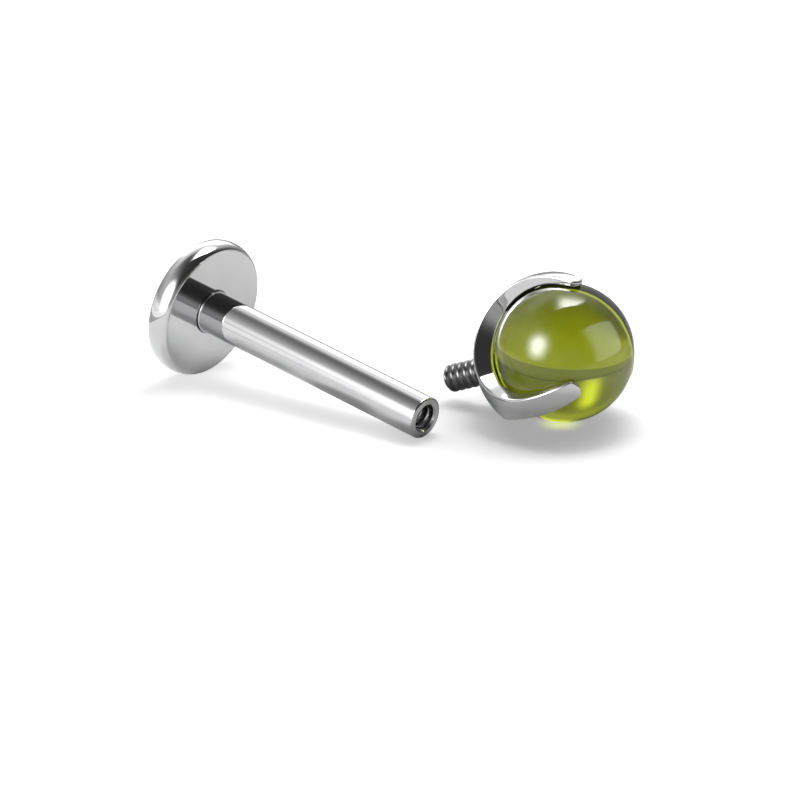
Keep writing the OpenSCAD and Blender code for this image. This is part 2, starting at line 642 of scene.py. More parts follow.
@dataclass(frozen=True)
class MachinedSteel(LinedSteel):
    """Bare machined steel on a thread: dark crests with tool marks, and a painted highlight in the roots,
    which are pale and dull.

    Attributes:
        crest_colour: Colour on the crests.
        root_colour: Colour in the roots, a pale painted highlight.
        roots: Radii between which the root's colour fades, in mm.
        mark_share: How much of the roots' painted highlight colour the tool marks take on.
        roughness: Roughness in the roots and on the crests.
    """

    lines_per_mm: float = 38.0
    line_depth: float = 4e-7
    crest_colour: Colour = (0.14, 0.14, 0.14, 1)
    root_colour: Colour = (0.55, 0.55, 0.55, 1)
    roots: Pair = (0.312, 0.334)
    mark_share: float = 0.25
    roughness: Pair = (0.4, 0.3)

    def looks(self, surface: Surface) -> Inputs:
        """Work out what the Principled node gets.

        Args:
            surface: The material's tree.

        Returns:
            Its inputs.
        """
        mask, normal = self.lines(surface)
        # Painted highlight: the roots get a pale, non-metallic colour that shows as light lines between the
        # crests
        crest = surface.remap(surface.from_axis(surface.place), self.roots, (0, 1))
        marked = surface.math("MULTIPLY_ADD", mask, -self.mark_share, crest)
        return {
            "Metallic": crest,
            "Base Color": surface.mix(marked, self.root_colour, self.crest_colour),
            "Roughness": surface.remap(crest, (0, 1), self.roughness, "LINEAR"),
            "Specular IOR Level": 0.0,
            "Normal": normal,
        }


@dataclass(frozen=True)
class OliveGlass(Finish):
    """Clear olive-green glass, coloured all through, with faint streaks.

    Attributes:
        colour: The glass's colour at its surface.
        streak_colour: Colour of the faint streaks.
        streak_size: How fine the streaks are.
        depth_colour: Colour that deep glass takes on.
        density: How quickly it takes it on, per metre.
        index: Index of refraction.
    """

    colour: Colour = (0.99, 1.0, 0.97, 1)
    streak_colour: Colour = (0.95, 0.98, 0.88, 1)
    streak_size: float = 0.5
    depth_colour: Colour = (0.748, 0.774, 0.037, 1)
    density: float = 1350.0
    index: float = 1.6

    def looks(self, surface: Surface) -> Inputs:
        """Colour the glass inside, and work out what the Principled node gets.

        Args:
            surface: The material's tree.

        Returns:
            Its inputs.
        """
        depth = {"Color": self.depth_colour, "Density": self.density}
        volume = surface.add("ShaderNodeVolumeAbsorption", depth).outputs[0]
        surface.feed(surface.tree.nodes["Material Output"], {"Volume": volume})
        marks = surface.marks(handling_group(), {"Haze size": self.streak_size})
        return {
            "Base Color": surface.mix(marks["Haze"], self.colour, self.streak_colour),
            "Roughness": 0.0,
            "IOR": self.index,
            "Transmission Weight": 1.0,
        }


@dataclass
class Piece:
    """What every piece of the stud has in common.

    Attributes:
        node: The CAD node that it stands for.
        slot: The record's material slot; not used.
        finish: Its finish.
    """

    node: str
    slot: str
    finish: Finish

    def build(self) -> Object:
        """Model the piece in its own millimetres."""
        raise NotImplementedError

    def lay_down(self, part: Object, lie: Lie) -> None:
        """Put the piece in its place, with the place in its mesh.

        Args:
            part: The piece in its own millimetres.
            lie: Where its half of the stud lies.
        """
        part.matrix_world = lie.matrix()
        select_only(part)
        bpy.ops.object.transform_apply(location=True, rotation=True, scale=True)

    def dress(self, part: Object, lie: Lie) -> None:
        """Give the piece its finish."""
        part.data.materials.clear()
        part.data.materials.append(self.finish.material(lie))

    def make(self, lie: Lie) -> Object:
        """Model the piece, lay it down, dress it, hide the CAD part that it stands for and attach it to the
        root body.

        Args:
            lie: Where its half of the stud lies.

        Returns:
            The finished piece.
        """
        part = self.build()
        self.lay_down(part, lie)
        self.dress(part, lie)
        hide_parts(self.node)
        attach(part, BODY)
        return part


@dataclass(frozen=True)
class Thread:
    """A fine right-hand thread about the Z axis, in mm.

    Attributes:
        crest_r: Radius over the crests.
        root_r: Radius at the roots.
        pitch: Distance between two crests.
        fullness: How full the rounded crests are: 1 is a sine, less is fuller.
        start: Turn of the thread's start, in degrees.
        profile_steps: Points across one pitch.
        turn_steps: Points around one turn.
        spare_turns: Turns beyond the rod's length, which are cut off.
    """

    crest_r: float
    root_r: float
    pitch: float = 0.22
    fullness: float = 0.6
    start: float = 0.0
    profile_steps: int = 16
    turn_steps: int = 96
    spare_turns: int = 3

    def profile(self, bottom: float) -> list[Pair]:
        """Lay out one pitch of the thread, from root to root.

        Args:
            bottom: Height of the lower root.

        Returns:
            Radius and height of its points.
        """
        depth = self.crest_r - self.root_r
        shares = [step / self.profile_steps for step in range(self.profile_steps + 1)]
        rises = [depth * max(0.0, math.sin(math.pi * share)) ** self.fullness for share in shares]
        return [(self.root_r + rise, bottom + share * self.pitch) for share, rise in zip(shares, rises)]

    def rod(self, name: str, bottom: float, top: float) -> Object:
        """Model a threaded rod between two heights.

        Args:
            name: The rod's name.
            bottom: Height of its lower end.
            top: Height of its upper end.

        Returns:
            The closed rod.
        """
        part = draw_section(name, self.profile(bottom - (self.spare_turns - 1) * self.pitch))
        with editing(part):
            turn = -math.radians(self.start)
            bpy.ops.transform.rotate(value=turn, orient_axis="Z", center_override=(0.0, 0.0, 0.0))
        apply_modifier(
            part,
            "SCREW",
            axis="Z",
            angle=math.tau,
            screw_offset=self.pitch,
            iterations=math.ceil((top - bottom) / self.pitch) + self.spare_turns,
            steps=self.turn_steps,
            render_steps=self.turn_steps,
        )
        weld(part)
        with editing(part):
            bpy.ops.mesh.bisect(plane_co=(0, 0, top), plane_no=UP, use_fill=True, clear_outer=True)
            bpy.ops.mesh.select_all(action="SELECT")
            bpy.ops.mesh.bisect(plane_co=(0, 0, bottom), plane_no=UP, use_fill=True, clear_inner=True)
            bpy.ops.mesh.select_all(action="SELECT")
            bpy.ops.mesh.normals_make_consistent(inside=False)
        return part


@dataclass
class BackDisc(Piece):
    """The round backing disc with its pebble-like rim and the seat for the post, in mm.

    Attributes:
        radius: Radius over the rim's bulge.
        thickness: Thickness of the disc.
        edge_r: Radius of the roundings between faces and rim.
        bulge_r: Radius of the rim's bulge.
        seat_r: Radius of the hole for the post's foot.
        seat_depth: Depth of that hole.
        recess_r: Radius of the shallow recess for the post's shoulder.
        recess_depth: Depth of the recess.
        recess_edge: Rounding of the recess's edge.
        arc_steps: Chords of the recess's edge, of the other edges and of the bulge.
        turn_steps: Sides around the disc.
    """

    node: str = "back_disc"
    slot: str = "polished_steel"
    finish: Finish = PolishedSteel("polished_steel_disc")
    radius: float = 2.0
    thickness: float = 0.7
    edge_r: float = 0.14
    bulge_r: float = 0.6
    seat_r: float = 0.44
    seat_depth: float = 0.42
    recess_r: float = 0.62
    recess_depth: float = 0.07
    recess_edge: float = 0.055
    arc_steps: tuple[int, int, int] = (4, 8, 14)
    turn_steps: int = 256

    def section(self) -> list[Pair]:
        """Lay out the half section, from the bottom of the seat over the face and the rim to the back.

        Returns:
            Radius and height of its points.
        """
        middle = -self.thickness / 2
        rise = self.thickness / 2 - self.edge_r
        bulge_x = self.radius - self.bulge_r
        edge_x = bulge_x + math.sqrt((self.bulge_r - self.edge_r) ** 2 - rise**2)
        meet = math.degrees(math.asin(rise / (self.bulge_r - self.edge_r)))
        lip = self.recess_r + self.recess_edge
        lip_steps, edge_steps, bulge_steps = self.arc_steps
        return [
            (0, -self.seat_depth),
            (self.seat_r, -self.seat_depth),
            (self.seat_r, -self.recess_depth),
            (self.recess_r, -self.recess_depth),
            *arc((lip, -self.recess_edge), self.recess_edge, 180, 90, lip_steps),
            *arc((edge_x, middle + rise), self.edge_r, 90, meet, edge_steps),
            *arc((bulge_x, middle), self.bulge_r, meet, -meet, bulge_steps)[1:-1],
            *arc((edge_x, middle - rise), self.edge_r, -meet, -90, edge_steps),
            (0, -self.thickness),
        ]

    def build(self) -> Object:
        """Turn the disc from its half section.

        Returns:
            The disc.
        """
        part = turn_section("backing_disc", self.section(), self.turn_steps)
        even_shading(part)
        return part


@dataclass
class Post(Piece):
    """The straight post, tapped at its free end, in mm.

    Attributes:
        radius: Radius of the post.
        length: Length from the disc's face to the free end.
        foot_r: Radius of the foot in the disc.
        foot_depth: How deep the foot sits in the disc.
        shoulder_depth: How deep the shoulder sits in the disc's face.
        bead_r: Radius of the fine bead around the root.
        bead_gap: How far the bead stays off the disc.
        edge_r: Rounding of the free end's outer edge.
        arc_steps: Chords of the bead and of the rounding.
        bore_r: Radius of the tapped hole at its crests.
        bore_depth: Depth of the tapped hole.
        drill_slope: Slope of the hole's pointed end, in degrees.
        mouth: Width and depth of the countersink.
        thread: The tap that cuts the hole's thread.
        thread_depth: How far the thread runs into the hole.
    """

    node: str = "post"
    slot: str = "polished_steel"
    finish: Finish = TappedSteel("polished_steel_post", roughness=(0.03, 0.06), haze_size=0.6)
    radius: float = 0.6
    length: float = 8.0
    foot_r: float = 0.42
    foot_depth: float = 0.4
    shoulder_depth: float = 0.05
    bead_r: float = 0.025
    bead_gap: float = 0.006
    edge_r: float = 0.06
    arc_steps: int = 8
    bore_r: float = 0.345
    bore_depth: float = 3.0
    drill_slope: float = 31.0
    mouth: float = 0.075
    thread: Thread = Thread(crest_r=0.4, root_r=0.341, start=200.0)
    thread_depth: float = 2.6

    def section(self) -> list[Pair]:
        """Lay out the half section, from the foot's middle over the barrel and into the hole.

        Returns:
            Radius and height of its points.
        """
        bore_end = self.length - self.bore_depth
        edge = (self.radius - self.edge_r, self.length - self.edge_r)
        return [
            (0, -self.foot_depth),
            (self.foot_r, -self.foot_depth),
            (self.foot_r, -self.shoulder_depth),
            (self.radius, -self.shoulder_depth),
            *arc((self.radius, self.bead_gap + self.bead_r), self.bead_r, -90, 90, self.arc_steps),
            *arc(edge, self.edge_r, 0, 90, self.arc_steps),
            (self.bore_r + self.mouth, self.length),
            (self.bore_r, self.length - self.mouth),
            (self.bore_r, bore_end),
            (0, bore_end - self.bore_r * math.tan(math.radians(self.drill_slope))),
        ]

    def build(self) -> Object:
        """Turn the post from its half section and tap its hole.

        Returns:
            The post.
        """
        part = turn_section("tapped_post", self.section())
        cut(part, self.thread.rod("tap", self.length - self.thread_depth, self.length + self.edge_r))
        even_shading(part)
        return part


@dataclass
class ThreadedPin(Piece):
    """The short screw behind the claw, in mm from the ball's centre.

    Attributes:
        tip: Height of the pin's tip.
        collar: Height of the collar's end, in the claw's flat seat.
        foot_r: Radius of the foot.
        foot_top: Height of the foot's end in the claw.
        foot_steps: Sides around the foot.
        chamfer: Length of the chamfer at the tip.
        overlap: How far the rod starts before the tip, and the foot in the rod.
        thread: The pin's thread.
    """

    node: str = "threaded_pin"
    slot: str = "machined_steel"
    finish: Finish = MachinedSteel("machined_steel_thread")
    tip: float = -3.87
    collar: float = -2.52
    foot_r: float = 0.23
    foot_top: float = -2.27
    foot_steps: int = 64
    chamfer: float = 0.1
    overlap: float = 0.1
    thread: Thread = Thread(crest_r=0.395, root_r=0.31, start=70.0)

    def foot(self) -> list[Pair]:
        """Half section of the foot, with its overlap with the rod."""
        bottom, top = self.collar - self.overlap, self.foot_top
        return [(0, bottom), (self.foot_r, bottom), (self.foot_r, top), (0, top)]

    def envelope(self) -> list[Pair]:
        """Lay out the half section that the pin is trimmed to: chamfered tip, full body, foot.

        Returns:
            Radius and height of its points.
        """
        full = self.thread.crest_r
        return [
            (0, self.tip),
            (full - self.chamfer, self.tip),
            (full, self.tip + self.chamfer),
            (full, self.collar),
            (self.foot_r, self.collar),
            (self.foot_r, self.foot_top),
            (0, self.foot_top),
        ]

    def build(self) -> Object:
        """Join the foot to a threaded rod, and trim both to the pin's half section.

        Returns:
            The pin.
        """
        part = self.thread.rod("threaded_pin_body", self.tip - self.overlap, self.collar)
        cut(part, turn_section("foot", self.foot(), self.foot_steps), "UNION")
        cut(part, turn_section("blank", self.envelope(), TOOL_STEPS), "INTERSECT")
        even_shading(part)
        return part


@dataclass
class Claw(Piece):
    """The cup with three curved prongs, in mm from the ball's centre, its axis along Z.

    The claw is the shell between two spheres. A half prong with its share of the cup is one block of it, and
    a block's points lie on rays, which start from the gaps' apex or, at the tip, from the ball's centre. A
    ray's place along the block is -1 at the back pole, 0 where the cup ends and 1 at the tip, and its place
    across the block is 0 at the prong's middle and 1 at its edge.

    Attributes:
        prongs: How many prongs there are.
        outer_r: Radius of the outside.
        outer_back: How far the outside's centre lies behind the ball's.
        inner_r: Radius of the inside.
        inner_back: How far the inside's centre lies behind the ball's.
        prong_half: Angle from a prong's middle to its side, in degrees.
        gap_back: How far the gaps' apex lies behind the ball's centre.
        tip_angle: Angle of the tips' arcs from the axis, in degrees.
        tip_cone: Angle of the tips' roundness, in degrees.
        cup_rows: Rows of faces along the cup.
        prong_rows: Rows of faces along a prong.
        columns: Columns of faces across half a prong.
        layers: Rows of faces on the cut edge.
        edge_width: Width of the polished edges.
        edge_angle: Bend that makes an edge one to polish, in degrees.
        fineness: How often the edges and the whole mesh are divided.
        seat_r: Radius of the hole for the pin's foot.
        seat_end: Height of that hole's end.
        flat_r: Radius of the flat seat for the pin's collar.
        flat_end: Height of the flat seat.
        cutter_end: Height that the seats' cutter starts from, behind the claw.
    """

    node: str = "claw_setting"
    slot: str = "polished_steel"
    finish: Finish = ShadedClawSteel("polished_steel_claw", lines_per_mm=9.0, line_depth=2e-8, haze_size=0.8)
    prongs: int = 3
    outer_r: float = 2.28
    outer_back: float = 0.29
    inner_r: float = 1.955
    inner_back: float = 0.03
    prong_half: float = 8.7
    gap_back: float = 0.45
    tip_angle: float = 68.0
    tip_cone: float = 10.0
    cup_rows: int = 18
    prong_rows: int = 11
    columns: int = 5
    layers: int = 3
    edge_width: float = 0.045
    edge_angle: float = 40.0
    fineness: int = 2
    seat_r: float = 0.25
    seat_end: float = -2.25
    flat_r: float = 0.415
    flat_end: float = -2.5
    cutter_end: float = -3.0

    def angles(self) -> Pair:
        """Angles from a prong's middle to its side and to the next gap's middle, in radians."""
        return math.radians(self.prong_half), math.pi / self.prongs

    def tip_ray(self, across: float) -> Vector:
        """Work out the direction of a point on a tip's arc.

        Args:
            across: The point's place across the block.

        Returns:
            The direction from the ball's centre, for a prong along X.
        """
        lean, cone, side = map(math.radians, (self.tip_angle, self.tip_cone, self.prong_half))
        # The arc ends on the prong's side, where swing * sin(corner) + lift * cos(corner) = width
        swing = math.sin(cone)
        lift = math.tan(side) * math.sin(cone) * math.cos(lean)
        width = math.tan(side) * math.cos(cone) * math.sin(lean)
        corner = math.asin(width / math.hypot(swing, lift)) - math.atan2(lift, swing)
        middle = Vector((math.sin(lean), 0, math.cos(lean)))
        up = Vector((-math.cos(lean), 0, math.sin(lean)))
        out = math.cos(corner * across) * up + Vector((0, math.sin(corner * across), 0))
        return math.cos(cone) * middle + math.sin(cone) * out

    def middle_ray(self, along: float) -> Vector:
        """Work out the direction of a point on a prong's middle line.

        Args:
            along: The point's place along the block.

        Returns:
            The direction, for a prong along X.
        """
        tip = self.tip_ray(0)
        return way(0, along * (math.pi / 2 if along < 0 else math.atan2(tip.z, tip.x)))

    def edge_ray(self, along: float) -> Vector:
        """Work out the direction of a point on a gap's edge, with its round bottom and its straight side.

        Args:
            along: The point's place along the block.

        Returns:
            The direction, for a prong along X.
        """
        side, gap_middle = self.angles()
        if along >= 0:
            return way(side, along * math.asin(self.tip_ray(1).z))
        turn = math.pi / 2 * (2 + along)
        out = math.cos(turn) * way(gap_middle + math.pi / 2, 0) - math.sin(turn) * UP
        return math.cos(gap_middle - side) * way(gap_middle, 0) + math.sin(gap_middle - side) * out

    def pole_ray(self, across: float) -> Vector:
        """Direction of a point on the cup's line from the back pole (0) to a gap's bottom (1)."""
        side, gap_middle = self.angles()
        return way(gap_middle, across * (math.pi / 2 - gap_middle + side) - math.pi / 2)

    def ray(self, along: float, across: float) -> Vector:
        """Blend the direction of any point of a block from the block's four edges.

        Args:
            along: The point's place along the block.
            across: Its place across the block.

        Returns:
            The direction, of length 1.
        """
        share = (along + 1) / 2
        edges = (1 - across) * self.middle_ray(along) + across * self.edge_ray(along)
        ends = (1 - share) * self.pole_ray(across) + share * self.tip_ray(across)
        corners = (1 - share) * ((1 - across) * self.middle_ray(-1) + across * self.edge_ray(-1))
        corners += share * ((1 - across) * self.middle_ray(1) + across * self.edge_ray(1))
        return (edges + ends - corners).normalized()

    def shell_point(self, along: float, across: float, depth: float) -> Vector:
        """Work out the place of a point of a block.

        Args:
            along: Its place along the block.
            across: Its place across the block.
            depth: From 0 on the outside to 1 on the inside.

        Returns:
            The place, for a prong along X.
        """
        direction = self.ray(along, across)
        start = -self.gap_back * (1 - max(0.0, along))
        hits = []
        for radius, back in ((self.outer_r, self.outer_back), (self.inner_r, self.inner_back)):
            rise = start + back
            fall = rise * direction.z
            hits.append(math.sqrt(fall**2 - rise**2 + radius**2) - fall)
        return start * UP + direction * (hits[0] + (hits[1] - hits[0]) * depth)

    def block(self) -> Object:
        """Model half a prong with its share of the cup.

        Returns:
            The block, open where it meets its neighbours.
        """
        rows = self.cup_rows + self.prong_rows
        bpy.ops.mesh.primitive_grid_add(x_subdivisions=rows, y_subdivisions=self.columns, size=1)
        part = name_new("claw_body")
        with editing(part):
            bpy.ops.transform.resize(value=(rows, self.columns, 1))
            bpy.ops.transform.translate(value=(rows / 2, self.columns / 2, 0))
            for _ in range(self.layers):
                bpy.ops.mesh.extrude_region_move(TRANSFORM_OT_translate={"value": UP})
        delete_faces(part, lambda middle: min(middle.x, middle.y) < MERGE_DISTANCE)
        for vertex in part.data.vertices:
            row, column, layer = vertex.co
            rows_there = self.cup_rows if row < self.cup_rows else self.prong_rows
            along = (row - self.cup_rows) / rows_there
            vertex.co = self.shell_point(along, column / self.columns, layer / self.layers)
        return part

    def seats(self) -> list[Pair]:
        """Lay out the half section of the cutter for the pin's seats.

        Returns:
            Radius and height of its points.
        """
        return [
            (0, self.seat_end),
            (self.seat_r, self.seat_end),
            (self.seat_r, self.flat_end),
            (self.flat_r, self.flat_end),
            (self.flat_r, self.cutter_end),
            (0, self.cutter_end),
        ]

    def build(self) -> Object:
        """Mirror the block to a whole prong, copy it around, round the edges and drill the seats.

        Returns:
            The claw.
        """
        part = self.block()
        apply_modifier(part, "MIRROR", use_axis=(False, True, False), merge_threshold=MERGE_DISTANCE)
        copies = self.prongs - 1
        sweep = math.tau * copies / self.prongs
        with editing(part):
            bpy.ops.mesh.spin(
                steps=copies, dupli=True, angle=sweep, center=(0, 0, 0), axis=UP, use_auto_merge=False
            )
        weld(part)
        apply_modifier(
            part,
            "BEVEL",
            width=self.edge_width,
            segments=self.fineness,
            limit_method="ANGLE",
            angle_limit=math.radians(self.edge_angle),
            use_clamp_overlap=False,
        )
        apply_modifier(part, "SUBSURF", levels=self.fineness, render_levels=self.fineness)
        cut(part, turn_section("seat", self.seats(), TOOL_STEPS))
        select_only(part)
        bpy.ops.object.shade_smooth_by_angle(angle=SMOOTH_ANGLE)
        return part


@dataclass
class GlassBall(Piece):
    """The clear olive glass ball, in mm from its centre.

    Attributes:
        radius: Radius of the ball.
    """

    node: str = "stone_ball"
    slot: str = "olive_glass"
    finish: Finish = OliveGlass("olive_glass_ball")
    radius: float = 1.925

    def build(self) -> Object:
        """Turn the ball from a half circle.

        Returns:
            The ball.
        """
        part = turn_section("glass_ball", arc((0, 0), self.radius, -90, 90, TURN_STEPS // 2))
        select_only(part)
        bpy.ops.object.shade_smooth()
        return part


@dataclass
class StudBack:
    """The back of the stud: the disc and the post that stands in it.

    Attributes:
        disc: The backing disc.
        post: The tapped post.
    """

    disc: BackDisc = field(default_factory=BackDisc)
    post: Post = field(default_factory=Post)

    def lie(self) -> Lie:
        """Find the post's axis, from the middle of the disc's face.

        Returns:
            How both pieces lie.
        """
        middle, axis = mount("post_barrel")
        to_middle = (self.post.length - self.post.edge_r - self.post.shoulder_depth) / 2
        return Lie(middle - axis * to_middle * MM, axis)

    def make(self) -> list[Object]:
        """Make both pieces."""
        lie = self.lie()
        return [piece.make(lie) for piece in (self.disc, self.post)]


@dataclass
class BallEnd:
    """The ball end: pin, claw and glass ball.

    Attributes:
        pin: The threaded pin.
        claw: The claw.
        ball: The glass ball.
        prong_roll: Turn of the prongs about the axis, in degrees.
    """

    pin: ThreadedPin = field(default_factory=ThreadedPin)
    claw: Claw = field(default_factory=Claw)
    ball: GlassBall = field(default_factory=GlassBall)
    prong_roll: float = 54.9

    def lie(self) -> Lie:
        """Find the ball end's axis, from the ball's centre towards its front.

        Returns:
            How the three pieces lie.
        """
        low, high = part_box(self.ball.node)
        _, pin_axis = mount("pin_thread")
        return Lie((low + high) / 2, -pin_axis, math.radians(self.prong_roll))

    def make(self) -> list[Object]:
        """Make the three pieces."""
        lie = self.lie()
        return [piece.make(lie) for piece in (self.pin, self.claw, self.ball)]


class Lit(Enum):
    """What a light falls on."""

    ALL = "all"
    STUD = "stud"
    METAL = "metal"
    BALL = "ball"
    TABLE = "table"


@dataclass(frozen=True)
class Edge:
    """One side of a soft light.

    Attributes:
        angle: Which way the side faces, in degrees from the light's own right-hand side.
        distance: How far from the light's middle it lies.
        softness: How far the light fades beyond it.
    """

    angle: float
    distance: float
    softness: float

    def beyond(self, nodes: Nodes, at: Offset) -> NodeSocket:
        """Work out how far a point lies beyond the side.

        Args:
            nodes: The light's tree.
            at: How far the point lies to the right of the light's middle, and above it.

        Returns:
            The square of the distance, in units of the softness.
        """
        turn = math.radians(self.angle)
        upright = nodes.math("MULTIPLY", at[1], math.sin(turn))
        along = nodes.math("MULTIPLY_ADD", at[0], math.cos(turn), upright)
        past = nodes.math("MAXIMUM", nodes.math("SUBTRACT", along, self.distance), 0.0)
        return nodes.math("POWER", nodes.math("DIVIDE", past, self.softness), 2.0)


def sides(right: Pair, left: Pair, top: Pair, bottom: Pair) -> tuple[Edge, ...]:
    """The sides of a rectangular soft light, from the distance and the softness of each."""
    return Edge(0, *right), Edge(180, *left), Edge(90, *top), Edge(270, *bottom)


@dataclass(frozen=True)
class SoftLight:
    """What the soft lights and the pale boards have in common.

    Attributes:
        azimuth: Where it shines from, in degrees from straight behind the stud towards the right.
        elevation: How steeply it shines down, in degrees.
        edges: The sides of its bright part.
        light: How bright it is.
    """

    azimuth: float
    elevation: float
    edges: tuple[Edge, ...]
    light: float

    def facing(self) -> tuple[Vector, Vector, Vector]:
        """Work out the light's own directions.

        Returns:
            The way to it, its right-hand side and its upper side, as seen from the stud.
        """
        ahead = way(math.radians(90 - self.azimuth), math.radians(self.elevation))
        right = way(math.radians(-self.azimuth), 0)
        return ahead, right, right.cross(ahead)

    def strength(self, nodes: Nodes, at: Offset) -> NodeSocket:
        """Work out its strength at a point: full inside its sides, and fading beyond them.

        Args:
            nodes: The light's tree.
            at: How far the point lies to the right of the light's middle, and above it.

        Returns:
            The strength.
        """
        total: Value = 0.0
        for edge in self.edges:
            total = nodes.math("ADD", total, edge.beyond(nodes, at))
        share = nodes.math("EXPONENT", nodes.math("MULTIPLY", total, -1.0))
        return nodes.math("MULTIPLY", share, self.light)


@dataclass(frozen=True)
class SoftCard(SoftLight):
    """A soft light or a pale board far around the table, seen as a direction, with its sides in degrees."""

    def glow(self, nodes: Nodes, direction: NodeSocket) -> NodeSocket:
        """Work out the card's light in a direction.

        Args:
            nodes: The world's tree.
            direction: The direction looked at.

        Returns:
            The light that comes from there.
        """
        ahead, side, up = (
            nodes.vector_math("DOT_PRODUCT", direction, axis)["Value"]
            for axis in self.facing()
        )
        angles = (nodes.math("ARCTAN2", side, ahead), nodes.math("ARCSINE", up))
        across, upright = (nodes.math("DEGREES", angle) for angle in angles)
        return self.strength(nodes, (across, upright))


@dataclass(frozen=True)
class SoftBox(SoftLight):
    """A soft light near the stud, with its sides in mm.

    Attributes:
        name: The light's name.
        place: Where its middle hangs, in mm.
        size: Its width and height, in mm.
        lit: What it falls on.
    """

    name: str
    place: Place
    size: Pair
    lit: Lit

    def build(self, receivers: Collection | None) -> Object:
        """Set up the light.

        Args:
            receivers: The objects that it falls on, or None for all.

        Returns:
            The light.
        """
        ahead, right, up = self.facing()
        turned = Matrix((-right, up, ahead)).transposed().to_euler()
        bpy.ops.object.light_add(type="AREA", location=Vector(self.place) * MM, rotation=turned)
        lamp = name_new(self.name)
        lamp.visible_camera = False
        lamp.light_linking.receiver_collection = receivers
        lamp.data.shape = "RECTANGLE"
        lamp.data.size, lamp.data.size_y = (side * MM for side in self.size)
        lamp.data.energy = AREA_LIGHT_FACTOR * lamp.data.size * lamp.data.size_y
        lamp.data.use_nodes = True
        nodes = Nodes(lamp.data.node_tree)
        place = nodes.parts(nodes.add("ShaderNodeNewGeometry").outputs["Parametric"])
        across, upright = (
            nodes.math("MULTIPLY", nodes.math("SUBTRACT", place[axis], 0.5), side)
            for axis, side in (("X", -self.size[0]), ("Y", self.size[1]))
        )
        nodes.feed(nodes.tree.nodes["Emission"], {"Strength": self.strength(nodes, (across, upright))})
        return lamp


@dataclass(frozen=True)
class Spot:
    """A round, soft spot on a table, for painting light and shade on it.

    Attributes:
        middle: Its middle, in mm.
        reach: How far from there it is full, and where it has ended, in mm.
        levels: Its level inside and outside.
    """

    middle: Pair
    reach: Pair
    levels: Pair

    def level(self, surface: Surface) -> NodeSocket:
        """The spot's level on a table's surface."""
        far = surface.vector_math("DISTANCE", surface.place, (*self.middle, 0))["Value"]
        return surface.remap(far, self.reach, self.levels)


